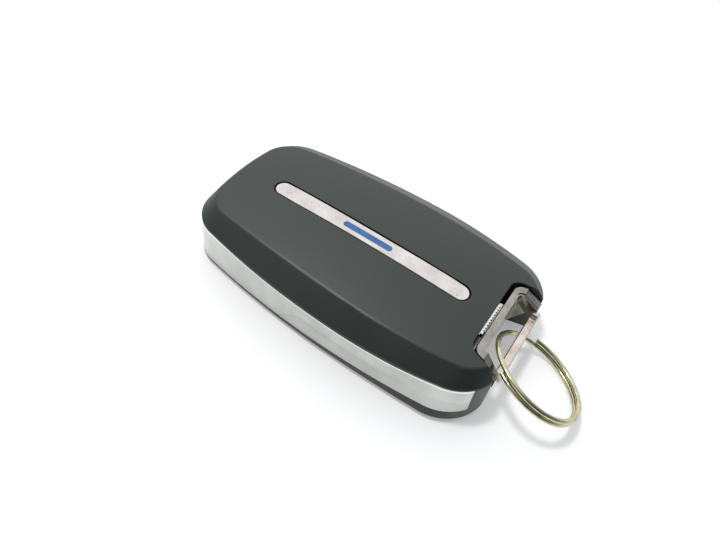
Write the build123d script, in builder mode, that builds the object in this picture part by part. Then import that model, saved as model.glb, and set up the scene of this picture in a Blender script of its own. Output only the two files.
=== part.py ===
from build123d import *
import os
from math import asin, cos, degrees, radians, sin, sqrt, tan

# Smart car key fob with a pull-out emergency key and a split ring.
# Buttons face down on Z = 0, the back cover faces up and the key end points to +Y.
# All sizes are millimetres.

# Body outline: two side arcs meet at the widest place, a bowed far end, a straight key end
far_end = -33.5
far_bow = 1.3
key_end = 33.2
widest_y = 5.5

# Outline at the parting line between the back cover and the front case
seam_z = 9.15
seam_half_width = 19.25
seam_far_bend = 175.0
seam_key_bend = 97.0
seam_far_corner = 8.0
seam_key_corner = 9.0

# Outline at the foot of the side walls, a little fuller towards the key end
hem_z = 1.2
hem_spread = 0.25
hem_far_bend = 200.0
hem_key_bend = 300.0
hem_far_corner = 7.5
hem_key_corner = 9.5
hem_bevel = 0.9

# Back cover
facet_angle = 34.0
crown_z = 13.25
crown_bend_across = 130.0
crown_bend_along = 480.0
far_nose = 2.4
key_nose = 1.6
far_crest_corner = 6.0
key_crest_corner = 6.0
crest_rounding = 1.2
dome_rise = 4.4
cover_wall = 1.5
edge_land = 0.3
crown_sweep = 14.0
crown_overhang = 6.0
ceiling_z = 11.2
parting_gap = 0.12

# Front case and its chrome side trims
front_wall = 1.5
side_wall = 2.2
end_wall = 1.8
trim_thickness = 1.0
trim_fit = 0.05
trim_end_x = 13.6
trim_end_y = 30.6
trim_end_turn = 42.0
trim_far_gap = 8.0
trim_foot_far = 1.3
trim_foot_middle = 2.0
trim_foot_key = 3.4

# Snap lip of the cover and the seal that lies round it
seal_thickness = 0.5
seal_fit = 0.05
lip_thickness = 0.9
lip_depth = 1.3
lip_fit = 0.2

# Emergency key head: a U-shaped frame that flares and thins towards the key end
head_back_y = 27.3
head_front_y = 33.0
head_back_half = 9.05
head_flare = 0.275
head_corner = 2.0
head_bar = 1.45
head_leg = 2.1
head_top_z = 11.6
head_foot_z = 3.0
head_slope_y = 29.6
head_slope_z = 8.7
leg_foot_y = 31.4
leg_foot_z = 7.3
window_corner = 0.8
window_overrun = 2.0
window_step_width = 0.35
window_step_depth = 0.25
head_bevel = 0.2
notch_gap = 0.75
notch_side_gap = 0.35

# Crossbar that carries the split ring: a strap with turned-up ends between the legs
crossbar_y = 33.0
crossbar_depth = 1.6
crossbar_height = 1.15
crossbar_top_z = 6.9
crossbar_half = 8.7
crossbar_end_z = 8.1
crossbar_cheek = 1.0
crossbar_inner_bend = 0.7
crossbar_outer_bend = 1.4
crossbar_bevel = 0.2

# Emergency key blade
blade_width = 7.6
blade_thickness = 2.0
blade_length = 44.0
blade_z = 8.7
blade_seat = 0.9
blade_fit = 0.25
track_width = 1.9
track_depth = 0.45
track_swing = 1.3
track_pitch = 4.8
track_bend = 1.5
tip_length = 2.2

# Split ring: round wire wound almost twice, threaded through the head under the crossbar
ring_radius = 9.35
wire_radial = 1.1
wire_axial = 0.86
ring_pitch = 0.93
ring_double_turn = 235.0
ring_centre_x = 2.0
ring_centre_y = 38.7
ring_centre_z = 5.4
ring_normal = Vector(-0.385, 0.29, 0.876)
ring_start = Vector(0.64, -0.53, 0.335)

# Release latch beside the key head
latch_width = 7.9
latch_centre_x = 1.5
latch_travel = 2.0
ledge_gap = 0.15
ledge_top_z = 12.05
ledge_foot_z = 10.95
latch_plate_length = 5.5
latch_plate_height = 0.65
latch_fit = 0.15
rib_pitch = 0.7
rib_width = 0.35
tooth_y = 22.0
tooth_length = 2.0
tooth_width = 1.0
tooth_drop = 1.5
catch_depth = 1.2
spring_room = 1.8
spring_post_width = 0.8
spring_post_half = 1.0
spring_y = 21.6
spring_strip = 0.15
spring_half = 0.9
spring_folds = 5
spring_bend = 0.12

# Trim bar inlaid in the back cover, with an enamel stripe
bar_length = 44.5
bar_width = 3.6
bar_x = 0.4
bar_y = -0.6
bar_depth = 1.0
bar_drop = 0.12
bar_fit = 0.25
enamel_length = 11.0
enamel_width = 1.3
enamel_depth = 0.35
enamel_fit = 0.04
inlay_fit = 0.02
bar_bevel = 0.15

# Buttons
button_travel = 0.6
button_drop = 0.3
button_fit = 0.25
button_corner = 2.2
button_flange = 0.45
flange_thickness = 0.5
flange_fit = 0.1
button_width = 11.6
button_height = 9.4
button_pitch_x = 12.9
button_pitch_y = 10.9
button_top_y = 13.5

# Electronics stack, posts and inner frame
mat_thickness = 0.5
mat_fit = 0.1
mat_overlap = 1.0
switch_size = 4.2
switch_height = 0.7
board_thickness = 0.8
board_inset = 3.7
cell_diameter = 20.0
cell_thickness = 3.2
cell_y = -18.0
contact_thickness = 0.2
contact_fit = 0.05
contact_width = 5.0
contact_span = 7.0
contact_reach = 1.6
contact_foot = 1.0
cell_step = 0.4
cell_edge = 0.3
cell_room = 0.4
post_radius = 1.1
post_places = [(-13.0, 20.0), (13.0, 20.0), (-9.8, -26.4), (9.8, -26.4)]
frame_plate_thickness = 0.9
frame_fit = 0.2
rail_width = 1.1
chip_edge = 0.2
switch_tip = 0.25
button_edge = 0.25

# Parts on the board: place, and length, width and height
board_parts = {
    "processor_chip": ((-5.5, 2.5), (7.0, 7.0, 0.9)),
    "radio_chip": ((6.0, 5.0), (4.5, 4.5, 0.8)),
    "quartz_crystal": ((6.0, -1.5), (3.2, 2.0, 0.8)),
    "antenna_coil": ((-5.5, 14.5), (8.0, 8.0, 2.4)),
}

# Capacitors: two rows of three
capacitor_place = (6.0, 15.0)
capacitor_pitch = (3.0, 3.2)
capacitor_size = (1.0, 1.8)
capacitor_count = (3, 2)
capacitor_height = 0.8

# Derived levels and places
hem_half_width = seam_half_width + hem_spread
wide = 3 * hem_half_width
notch_y = head_back_y - notch_gap
inner_wall_y = notch_y - end_wall
case_top_z = seam_z - parting_gap
lip_inset = side_wall + seal_thickness + 2 * seal_fit
cavity_inset = lip_inset + lip_thickness
frame_inset = cavity_inset + frame_fit
blade_top_z = blade_z + blade_thickness
flange_z = front_wall + flange_fit
mat_z = flange_z + flange_thickness + button_travel + mat_fit
switch_z = mat_z + mat_thickness + contact_fit
board_z = switch_z + switch_height
board_top_z = board_z + board_thickness
cell_z = board_top_z + contact_thickness + contact_fit
contact_top_z = cell_z + cell_thickness + contact_fit
frame_plate_z = blade_z - blade_fit - frame_plate_thickness
latch_z = blade_top_z + latch_fit
latch_pocket_z = latch_z + latch_plate_height + latch_fit
latch_low_x = latch_centre_x - latch_width / 2
latch_high_x = latch_centre_x + latch_width / 2
spring_post_x = latch_high_x + latch_travel + spring_room
opening_width = button_width + 2 * button_fit
opening_height = button_height + 2 * button_fit
flange_width = button_width + 2 * button_flange
flange_height = button_height + 2 * button_flange
button_places = {
    "button_lock": (-button_pitch_x / 2, button_top_y),
    "button_unlock": (button_pitch_x / 2, button_top_y),
    "button_start": (-button_pitch_x / 2, button_top_y - button_pitch_y),
    "button_trunk": (button_pitch_x / 2, button_top_y - button_pitch_y),
    "button_panic": (0, button_top_y - 2 * button_pitch_y),
}


def fob_outline(half_width, far_bend, key_bend, far_corner, key_corner, far_inset, key_inset):
    """Closed outline of the body at one height: two arcs a side, a bowed far end, a straight key end."""
    far_y = far_end + far_bow + far_inset
    key_y = key_end - key_inset
    far_turn = degrees(asin((widest_y - far_y) / far_bend))
    key_turn = degrees(asin((key_y - widest_y) / key_bend))
    with BuildSketch() as outline:
        with BuildLine():
            far_side = CenterArc((half_width - far_bend, widest_y), far_bend, -far_turn, far_turn)
            key_side = CenterArc((half_width - key_bend, widest_y), key_bend, 0, key_turn)
            far_point = far_side @ 0
            key_point = key_side @ 1
            mirror(about=Plane.YZ)
            Line(key_point, (-key_point.X, key_point.Y))
            ThreePointArc(far_point, (0, far_end + far_inset), (-far_point.X, far_point.Y))
        make_face()
        fillet(outline.vertices().group_by(Axis.Y)[0], far_corner)
        fillet(outline.vertices().group_by(Axis.Y)[-1], key_corner)
    return outline.sketch


def seam_outline(inset=0.0):
    """Outline at the parting line, drawn inwards by a wall."""
    return fob_outline(
        seam_half_width - inset,
        seam_far_bend - inset,
        seam_key_bend - inset,
        seam_far_corner - inset,
        seam_key_corner - inset,
        inset,
        inset,
    )


def hem_outline(inset=0.0):
    """Outline at the foot of the side walls, drawn inwards by a wall."""
    return fob_outline(
        hem_half_width - inset,
        hem_far_bend - inset,
        hem_key_bend - inset,
        hem_far_corner - inset,
        hem_key_corner - inset,
        inset,
        inset,
    )


def plateau_outline():
    """Outline that the sloping facets would close in to at the top of their rise."""
    inset = (dome_rise - edge_land) / tan(radians(facet_angle))
    return fob_outline(
        seam_half_width - inset,
        seam_far_bend - inset,
        seam_key_bend - inset,
        far_crest_corner,
        key_crest_corner,
        far_nose,
        key_nose,
    )


def block(low, high):
    """Plain box between two corners."""
    size = [b - a for a, b in zip(low, high)]
    with BuildPart() as piece:
        with BuildSketch(Plane.XY.offset(low[2])):
            with Locations(((low[0] + high[0]) / 2, (low[1] + high[1]) / 2)):
                Rectangle(size[0], size[1])
        extrude(amount=size[2])
    return piece.part


def side_walls(inset=0.0):
    """Leaning side walls between the two outlines, as a solid."""
    with BuildPart() as walls:
        with BuildSketch(Plane.XY.offset(hem_z)):
            add(hem_outline(inset))
        with BuildSketch(Plane.XY.offset(seam_z)):
            add(seam_outline(inset))
        loft(ruled=True)
    return walls.part


def dome(foot_z):
    """Faceted dome over a foot level: a low upright land, then facets that close in all round."""
    with BuildPart() as land:
        with BuildSketch(Plane.XY.offset(foot_z)):
            add(seam_outline())
        extrude(amount=edge_land)
    with BuildPart() as cap:
        with BuildSketch(Plane.XY.offset(foot_z + edge_land)):
            add(seam_outline())
        with BuildSketch(Plane.XY.offset(foot_z + dome_rise)):
            add(plateau_outline())
        loft(ruled=True)
        add(land.part)
    return cap.part


def crown(drop=0.0):
    """Barrel under the top surface: a wide arc across, turned about a far axis along the body."""
    axis_z = crown_z - drop - crown_bend_along
    half = seam_half_width + crown_overhang
    lean = radians(crown_sweep / 2)
    tilted = Plane(origin=(0, 0, axis_z), x_dir=(1, 0, 0), z_dir=(0, -cos(lean), sin(lean)))
    low = crown_bend_along - crown_z - crown_overhang
    edge = crown_bend_along - (crown_bend_across - sqrt(crown_bend_across**2 - half**2))
    with BuildPart() as barrel:
        with BuildSketch(tilted):
            with BuildLine():
                ThreePointArc((-half, edge), (0, crown_bend_along), (half, edge))
                Polyline((half, edge), (half, low), (-half, low), (-half, edge))
            make_face()
        revolve(axis=Axis((0, 0, axis_z), (1, 0, 0)), revolution_arc=crown_sweep)
    return barrel.part


def head_outline(back_gap, side_gap, front_y):
    """Plan of the key head, spread by gaps at its back and sides and run to a front line."""
    back_y = head_back_y - back_gap
    back_half = head_back_half + side_gap - back_gap * head_flare
    front_half = head_back_half + side_gap + (front_y - head_back_y) * head_flare
    with BuildSketch() as plan:
        with BuildLine():
            Polyline(
                (-back_half, back_y),
                (back_half, back_y),
                (front_half, front_y),
                (-front_half, front_y),
                (-back_half, back_y),
            )
        make_face()
        fillet(plan.vertices().group_by(Axis.Y)[0], head_corner + side_gap)
    return plan.sketch


def window_outline(spread=0.0):
    """Plan of the opening between the legs of the key head."""
    back_y = head_back_y + head_bar - spread
    front_y = head_front_y + window_overrun
    back_half = head_back_half + head_bar * head_flare - head_leg + spread
    front_half = back_half + (front_y - back_y) * head_flare
    with BuildSketch() as plan:
        with BuildLine():
            Polyline(
                (-back_half, back_y),
                (back_half, back_y),
                (front_half, front_y),
                (-front_half, front_y),
                (-back_half, back_y),
            )
        make_face()
        fillet(plan.vertices().group_by(Axis.Y)[0], window_corner + spread)
    return plan.sketch


def head_profile(drop=0.0):
    """Key head seen from the side, its top lowered by a drop, as a slab across the body."""
    with BuildPart() as slab:
        with BuildSketch(Plane.YZ):
            with BuildLine():
                Polyline(
                    (head_back_y - 1, head_foot_z),
                    (head_back_y - 1, head_top_z - drop),
                    (head_slope_y, head_top_z - drop),
                    (head_front_y, head_slope_z - drop),
                    (head_front_y, leg_foot_z),
                    (leg_foot_y, leg_foot_z),
                    (head_back_y + head_bar, head_foot_z),
                    (head_back_y - 1, head_foot_z),
                )
            make_face()
        extrude(amount=wide, both=True)
    return slab.part


def stadium(length, width):
    """Plan of the trim bar and of what lies in it."""
    with BuildSketch() as plan:
        with Locations((bar_x, bar_y)):
            SlotOverall(length, width, rotation=90)
    return plan.sketch


def inlay(length, width, top_drop, floor_drop):
    """Stadium-shaped piece whose top and floor both follow the crown."""
    with BuildPart() as piece:
        with BuildSketch(Plane.XY.offset(ceiling_z)):
            add(stadium(length, width))
        extrude(amount=crown_z)
        add(crown(top_drop), mode=Mode.INTERSECT)
        add(crown(floor_drop), mode=Mode.SUBTRACT)
    return piece.part


def side_ring(outer, inner, low_z, high_z):
    """Open ring along the body outline that stops short of the notch wall."""
    with BuildPart() as ring:
        with BuildSketch(Plane.XY.offset(low_z)):
            add(seam_outline(outer))
            add(seam_outline(inner), mode=Mode.SUBTRACT)
            with Locations((0, inner_wall_y - lip_fit)):
                Rectangle(2 * wide, 2 * wide, align=(Align.CENTER, Align.MIN), mode=Mode.SUBTRACT)
        extrude(amount=high_z - low_z)
    return ring.part


def trim_zone(spread):
    """Stretch of the side walls that the right-hand chrome trim covers: a plan cut by its end line."""
    far_y = far_end - 1
    key_y = key_end + 1
    middle_y = (far_y + key_y) / 2
    turn = radians(trim_end_turn)
    end_x = trim_end_x - spread * sin(turn)
    end_y = trim_end_y + spread * cos(turn)
    with BuildPart() as zone:
        with BuildSketch():
            with BuildLine():
                Polyline(
                    (trim_far_gap - spread, -wide),
                    (trim_far_gap - spread, end_y - (end_x - trim_far_gap + spread) * tan(turn)),
                    (end_x + wide * cos(turn), end_y + wide * sin(turn)),
                    (end_x + wide * cos(turn), -wide),
                    (trim_far_gap - spread, -wide),
                )
            make_face()
        extrude(amount=seam_z + 1)
        with BuildSketch(Plane.YZ):
            with BuildLine():
                ThreePointArc(
                    (far_y, trim_foot_far - spread),
                    (middle_y, trim_foot_middle - spread),
                    (key_y, trim_foot_key - spread),
                )
                Polyline(
                    (key_y, trim_foot_key - spread),
                    (key_y, seam_z + 1),
                    (far_y, seam_z + 1),
                    (far_y, trim_foot_far - spread),
                )
            make_face()
        extrude(amount=2 * wide, mode=Mode.INTERSECT)
    return zone.part


os.makedirs("parts", exist_ok=True)

# Notch at the key end, cut through both shells with a gap round the head
with BuildPart() as notch:
    with BuildSketch(Plane.XY.offset(-1)):
        add(head_outline(notch_gap, notch_side_gap, key_end + 1))
    extrude(amount=crown_z + 2)

# Slot in the notch wall for the blade, and the wider one above it for the latch neck
blade_slot = block(
    (-blade_width / 2 - blade_fit, inner_wall_y - 1, blade_z - blade_fit),
    (blade_width / 2 + blade_fit, notch_y + 1, blade_top_z + blade_fit),
)
latch_slot = block(
    (latch_low_x - latch_fit, inner_wall_y - latch_plate_length, latch_z - latch_fit),
    (latch_high_x + latch_travel + latch_fit, notch_y + 1, latch_pocket_z),
)
spring_pocket = block(
    (latch_high_x, inner_wall_y - latch_plate_length, latch_z - latch_fit),
    (spring_post_x + spring_post_width + latch_fit, inner_wall_y, latch_pocket_z),
)

# Hollow under the back cover: it follows the facets at the wall's thickness, up to a flat ceiling
with BuildPart() as cover_cavity:
    with BuildSketch(Plane.XY.offset(seam_z - lip_depth)):
        add(seam_outline(cavity_inset))
    extrude(amount=ceiling_z - seam_z + lip_depth)
    add(dome(seam_z - cover_wall / cos(radians(facet_angle))), mode=Mode.INTERSECT)
    split(bisect_by=Plane.XZ.offset(-inner_wall_y), keep=Keep.TOP)

# Back cover: faceted dome under a crowned top, its crest rounded all the way round
with BuildPart() as back_cover:
    add(dome(seam_z))
    add(crown(), mode=Mode.INTERSECT)
    fillet(back_cover.faces().sort_by(Axis.Z)[-1].edges(), crest_rounding)
    add(side_ring(lip_inset, cavity_inset, seam_z - lip_depth, seam_z))
    add(cover_cavity.part, mode=Mode.SUBTRACT)
    add(notch.part, mode=Mode.SUBTRACT)
    add(blade_slot, mode=Mode.SUBTRACT)
    add(latch_slot, mode=Mode.SUBTRACT)
    add(spring_pocket, mode=Mode.SUBTRACT)
    add(inlay(bar_length + 2 * bar_fit, bar_width + 2 * bar_fit, -1, bar_depth), mode=Mode.SUBTRACT)
back_cover.part.label = "back_cover"
export_step(back_cover.part, "parts/back_cover.step")

# Chrome inlay that follows the crown, with an enamel stripe let into its middle
with BuildPart() as trim_bar:
    add(inlay(bar_length, bar_width, bar_drop, bar_depth - inlay_fit))
    chamfer(trim_bar.faces().sort_by(Axis.Z)[-1].edges(), bar_bevel)
    seat_length = enamel_length + 2 * enamel_fit
    seat_width = enamel_width + 2 * enamel_fit
    add(inlay(seat_length, seat_width, -1, bar_drop + enamel_depth), mode=Mode.SUBTRACT)
trim_bar.part.label = "trim_bar"
export_step(trim_bar.part, "parts/trim_bar.step")

with BuildPart() as trim_enamel:
    add(inlay(enamel_length, enamel_width, bar_drop, bar_drop + enamel_depth - inlay_fit))
trim_enamel.part.label = "trim_enamel"
export_step(trim_enamel.part, "parts/trim_enamel.step")

# Chrome side trims, one each side, wrapping the far corners
above_case = block((-wide, -wide, case_top_z), (wide, wide, crown_z))
with BuildPart() as side_trim_right:
    add(side_walls())
    add(above_case, mode=Mode.SUBTRACT)
    add(trim_zone(0), mode=Mode.INTERSECT)
    add(side_walls(trim_thickness), mode=Mode.SUBTRACT)
side_trim_right.part.label = "side_trim_right"
export_step(side_trim_right.part, "parts/side_trim_right.step")

with BuildPart() as side_trim_left:
    mirror(side_trim_right.part, about=Plane.YZ)
side_trim_left.part.label = "side_trim_left"
export_step(side_trim_left.part, "parts/side_trim_left.step")

# Room for the trims in the walls of the front case
with BuildPart() as trim_rebate:
    add(trim_zone(trim_fit))
    add(side_walls(trim_thickness + trim_fit), mode=Mode.SUBTRACT)
    mirror(about=Plane.YZ)

with BuildPart() as case_cavity:
    add(side_walls(side_wall))
    add(block((-wide, -wide, front_wall), (wide, inner_wall_y, wide)), mode=Mode.INTERSECT)

# Front case: floor with the button openings, leaning walls rebated for the trims, two horns
with BuildPart() as front_case:
    with BuildSketch():
        add(hem_outline())
    extrude(amount=hem_z)
    chamfer(front_case.edges().group_by(Axis.Z)[0], hem_bevel)
    add(side_walls())
    add(case_cavity.part, mode=Mode.SUBTRACT)
    add(above_case, mode=Mode.SUBTRACT)
    add(trim_rebate.part, mode=Mode.SUBTRACT)
    add(notch.part, mode=Mode.SUBTRACT)
    add(blade_slot, mode=Mode.SUBTRACT)
    with BuildSketch():
        with Locations(*button_places.values()):
            RectangleRounded(opening_width, opening_height, button_corner + button_fit)
    extrude(amount=front_wall, mode=Mode.SUBTRACT)
    with BuildSketch(Plane.XY.offset(front_wall)):
        with Locations(*post_places):
            Circle(post_radius)
    extrude(amount=board_z - front_wall)
front_case.part.label = "front_case"
export_step(front_case.part, "parts/front_case.step")

# Seal between the lip of the cover and the wall of the case
seal_outer = side_wall + seal_fit
with BuildPart() as case_seal:
    add(side_ring(seal_outer, seal_outer + seal_thickness, seam_z - lip_depth, seam_z - 2 * parting_gap))
case_seal.part.label = "case_seal"
export_step(case_seal.part, "parts/case_seal.step")

# Crossbar: a strap whose ends turn up between the legs of the head
with BuildPart() as head_crossbar:
    with BuildSketch(Plane.XZ.offset(-crossbar_y)) as strap:
        bar_low_z = crossbar_top_z - crossbar_height
        inner_half = crossbar_half - crossbar_cheek
        with BuildLine():
            Polyline(
                (-crossbar_half, crossbar_end_z),
                (-crossbar_half, bar_low_z),
                (crossbar_half, bar_low_z),
                (crossbar_half, crossbar_end_z),
                (inner_half, crossbar_end_z),
                (inner_half, crossbar_top_z),
                (-inner_half, crossbar_top_z),
                (-inner_half, crossbar_end_z),
                (-crossbar_half, crossbar_end_z),
            )
        make_face()
        fillet(strap.vertices().group_by(Axis.Y)[0], crossbar_outer_bend)
        fillet(strap.vertices().group_by(Axis.Y)[1], crossbar_inner_bend)
    extrude(amount=crossbar_depth / 2, both=True)
    chamfer(head_crossbar.edges().filter_by(Axis.X), crossbar_bevel)
head_crossbar.part.label = "head_crossbar"
export_step(head_crossbar.part, "parts/head_crossbar.step")

# Shallow step round the edge of the window
with BuildPart() as window_step:
    with BuildSketch(Plane.XY.offset(head_foot_z)):
        add(window_outline(window_step_width))
    extrude(amount=head_top_z)
    add(head_profile(window_step_depth), mode=Mode.SUBTRACT)

# Key head: flared U frame with a stepped window, its legs sloping and thinning towards the front
with BuildPart() as key_head:
    with BuildSketch(Plane.XY.offset(head_foot_z)):
        add(head_outline(0, 0, head_front_y))
    extrude(amount=head_top_z - head_foot_z)
    add(head_profile(), mode=Mode.INTERSECT)
    crest = key_head.edges().filter_by(lambda edge: edge.center().Z > head_slope_z + head_bevel)
    slope_line = crest.filter_by(Axis.X).sort_by(Axis.Y)[-1:]
    chamfer(crest - slope_line, head_bevel)
    add(window_step.part, mode=Mode.SUBTRACT)
    with BuildSketch(Plane.XY.offset(head_foot_z)):
        add(window_outline())
    extrude(amount=head_top_z, mode=Mode.SUBTRACT)
    add(head_crossbar.part, mode=Mode.SUBTRACT)
    blade_seat_low = (-blade_width / 2, head_back_y - 1, blade_z)
    blade_seat_high = (blade_width / 2, head_back_y + blade_seat, blade_top_z)
    add(block(blade_seat_low, blade_seat_high), mode=Mode.SUBTRACT)
key_head.part.label = "key_head"
export_step(key_head.part, "parts/key_head.step")

# Key blade: flat bar with a pointed tip, a latch notch in one edge and a milled track on both faces
with BuildPart() as key_blade:
    root_y = head_back_y + blade_seat
    tip_y = root_y - blade_length
    half = blade_width / 2
    with BuildSketch(Plane.XY.offset(blade_z)):
        with BuildLine():
            Polyline(
                (-half, root_y),
                (-half, tip_y + tip_length),
                (-half + tip_length, tip_y),
                (half - tip_length, tip_y),
                (half, tip_y + tip_length),
                (half, root_y),
                (-half, root_y),
            )
        make_face()
        with Locations((half, tooth_y)):
            Rectangle(2 * catch_depth, tooth_length + 2 * latch_fit, mode=Mode.SUBTRACT)
    extrude(amount=blade_thickness)
    with BuildSketch(Plane.XY.offset(blade_z)) as track:
        with BuildLine():
            FilletPolyline(
                (0, tip_y - 1),
                (0, tip_y + track_pitch),
                (track_swing, tip_y + 2 * track_pitch),
                (track_swing, tip_y + 3 * track_pitch),
                (-track_swing, tip_y + 4 * track_pitch),
                (-track_swing, tip_y + 5 * track_pitch),
                (track_swing / 2, tip_y + 6 * track_pitch),
                radius=track_bend,
            )
        trace(line_width=track_width)
    extrude(amount=track_depth, mode=Mode.SUBTRACT)
    with BuildSketch(Plane.XY.offset(blade_top_z)):
        add(track.sketch_local)
    extrude(amount=-track_depth, mode=Mode.SUBTRACT)
key_blade.part.label = "key_blade"
export_step(key_blade.part, "parts/key_blade.step")


def ring_point(turn, level):
    """Point on the middle line of the ring's wire, in the ring's own frame."""
    return (ring_radius * cos(radians(turn)), ring_radius * sin(radians(turn)), level)


# Split ring: a flat lower turn, a short climb and a flat upper turn, all of one wire
ring_centre = Vector(ring_centre_x, ring_centre_y, ring_centre_z)
ring_axis = ring_normal.normalized()
start_direction = (ring_start - ring_axis * ring_start.dot(ring_axis)).normalized()
ring_plane = Plane(origin=ring_centre, x_dir=start_direction, z_dir=ring_axis)
low = -ring_pitch / 2
high = ring_pitch / 2
double = ring_double_turn
climb = (double + 360) / 2
with BuildPart() as wound_wire:
    with BuildLine() as wire_line:
        ThreePointArc(ring_point(0, low), ring_point(double / 2, low), ring_point(double, low))
        ThreePointArc(ring_point(double, low), ring_point(climb, 0), ring_point(360, high))
        ThreePointArc(ring_point(0, high), ring_point(double / 2, high), ring_point(double, high))
    with BuildSketch(Plane(origin=wire_line.line @ 0, x_dir=(1, 0, 0), z_dir=wire_line.line % 0)):
        Ellipse(wire_radial / 2, wire_axial / 2)
    sweep(path=wire_line.line, transition=Transition.TRANSFORMED)
with BuildPart() as key_ring:
    add(ring_plane.from_local_coords(wound_wire.part))
key_ring.part.label = "key_ring"
export_step(key_ring.part, "parts/key_ring.step")

# Release latch: sliding plate over the blade with a tooth beside it and a ribbed ledge outside
ledge_y = notch_y + latch_fit
ledge_front_y = head_back_y - ledge_gap
plate_y = inner_wall_y - latch_plate_length + latch_fit
tooth_x = blade_width / 2 + latch_fit
with BuildPart() as release_latch:
    add(block((latch_low_x, plate_y, latch_z), (latch_high_x, ledge_y, latch_z + latch_plate_height)))
    add(block((latch_low_x, ledge_y, ledge_foot_z), (latch_high_x, ledge_front_y, ledge_top_z)))
    tooth_low = (tooth_x, tooth_y - tooth_length / 2, latch_z - tooth_drop)
    tooth_high = (tooth_x + tooth_width, tooth_y + tooth_length / 2, latch_z)
    add(block(tooth_low, tooth_high))
    rib_count = int((latch_width - rib_pitch) / rib_pitch)
    with BuildSketch(Plane.XY.offset(ledge_top_z)):
        with Locations((latch_centre_x, ledge_front_y)):
            with GridLocations(rib_pitch, 1, rib_count, 1):
                Rectangle(rib_width, rib_width)
    extrude(amount=-(ledge_top_z - ledge_foot_z), mode=Mode.SUBTRACT)
release_latch.part.label = "release_latch"
export_step(release_latch.part, "parts/release_latch.step")

# Latch return spring: folded strip between the latch and its post
spring_x = latch_high_x + contact_fit
spring_step = (spring_post_x - contact_fit - spring_strip - spring_x) / spring_folds
with BuildPart() as latch_spring:
    with BuildSketch(Plane.XY.offset(latch_z)):
        with BuildLine():
            FilletPolyline(
                *[
                    (spring_x + spring_strip / 2 + fold * spring_step, spring_y + (-1) ** fold * spring_half)
                    for fold in range(spring_folds + 1)
                ],
                radius=spring_bend,
            )
        trace(line_width=spring_strip)
    extrude(amount=latch_plate_height)
latch_spring.part.label = "latch_spring"
export_step(latch_spring.part, "parts/latch_spring.step")

# Inner frame: plate round the coin cell, posts down to the board, rails for the blade, latch post
contact_x = cell_diameter / 2 + contact_reach / 2
with BuildPart() as inner_frame:
    with BuildSketch(Plane.XY.offset(frame_plate_z)):
        add(seam_outline(frame_inset))
        with Locations((0, inner_wall_y - frame_fit)):
            Rectangle(2 * wide, 2 * wide, align=(Align.CENTER, Align.MIN), mode=Mode.SUBTRACT)
        with Locations((0, cell_y)):
            Circle(cell_diameter / 2 + cell_room, mode=Mode.SUBTRACT)
            contact_room = (contact_x + frame_fit, contact_width + 2 * cell_room)
            Rectangle(*contact_room, align=(Align.MIN, Align.CENTER), mode=Mode.SUBTRACT)
    extrude(amount=frame_plate_thickness)
    with BuildSketch(Plane.XY.offset(board_top_z)):
        with Locations(*post_places):
            Circle(post_radius)
    extrude(amount=frame_plate_z - board_top_z + frame_plate_thickness / 2)
    rail_low_y = cell_y + cell_diameter / 2 + cell_room
    rail_high_y = inner_wall_y - frame_fit
    rail_x = blade_width / 2 + blade_fit + rail_width / 2
    with BuildSketch(Plane.XY.offset(frame_plate_z)):
        with Locations((-rail_x, (rail_low_y + rail_high_y) / 2), (rail_x, (rail_low_y + rail_high_y) / 2)):
            Rectangle(rail_width, rail_high_y - rail_low_y)
    extrude(amount=blade_top_z - frame_plate_z)
    tooth_room_z = latch_z - tooth_drop - latch_fit
    tooth_room_low = (blade_width / 2, tooth_y - tooth_length / 2 - latch_fit, tooth_room_z)
    tooth_room_x = tooth_x + tooth_width + latch_travel + latch_fit
    tooth_room_high = (tooth_room_x, tooth_y + tooth_length / 2 + latch_fit, wide)
    add(block(tooth_room_low, tooth_room_high), mode=Mode.SUBTRACT)
    post_low = (spring_post_x, spring_y - spring_post_half, frame_plate_z)
    post_top_z = latch_z + latch_plate_height
    post_high = (spring_post_x + spring_post_width, spring_y + spring_post_half, post_top_z)
    add(block(post_low, post_high))
inner_frame.part.label = "inner_frame"
export_step(inner_frame.part, "parts/inner_frame.step")

# Circuit board, cut back at the notch wall
with BuildPart() as circuit_board:
    with BuildSketch(Plane.XY.offset(board_z)):
        add(seam_outline(board_inset))
        with Locations((0, inner_wall_y - frame_fit)):
            Rectangle(2 * wide, 2 * wide, align=(Align.CENTER, Align.MIN), mode=Mode.SUBTRACT)
    extrude(amount=board_thickness)
circuit_board.part.label = "circuit_board"
export_step(circuit_board.part, "parts/circuit_board.step")

# Coin cell: a can with a stepped rim at its foot and a broken top edge
with BuildPart() as coin_cell:
    with BuildSketch(Plane.XY.offset(cell_z)):
        with Locations((0, cell_y)):
            Circle(cell_diameter / 2 - cell_step)
    extrude(amount=cell_step)
    with BuildSketch(Plane.XY.offset(cell_z + cell_step)):
        with Locations((0, cell_y)):
            Circle(cell_diameter / 2)
    extrude(amount=cell_thickness - cell_step)
    chamfer(coin_cell.edges().group_by(Axis.Z)[-1], cell_edge)
coin_cell.part.label = "coin_cell"
export_step(coin_cell.part, "parts/coin_cell.step")

# Battery contacts: a flat spring under the cell and a bent strip that reaches over its edge
with BuildPart() as battery_contact_negative:
    negative_low = (-contact_span, cell_y - contact_width / 2, board_top_z)
    negative_high = (contact_span, cell_y + contact_width / 2, board_top_z + contact_thickness)
    add(block(negative_low, negative_high))
battery_contact_negative.part.label = "battery_contact_negative"
export_step(battery_contact_negative.part, "parts/battery_contact_negative.step")

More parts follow.
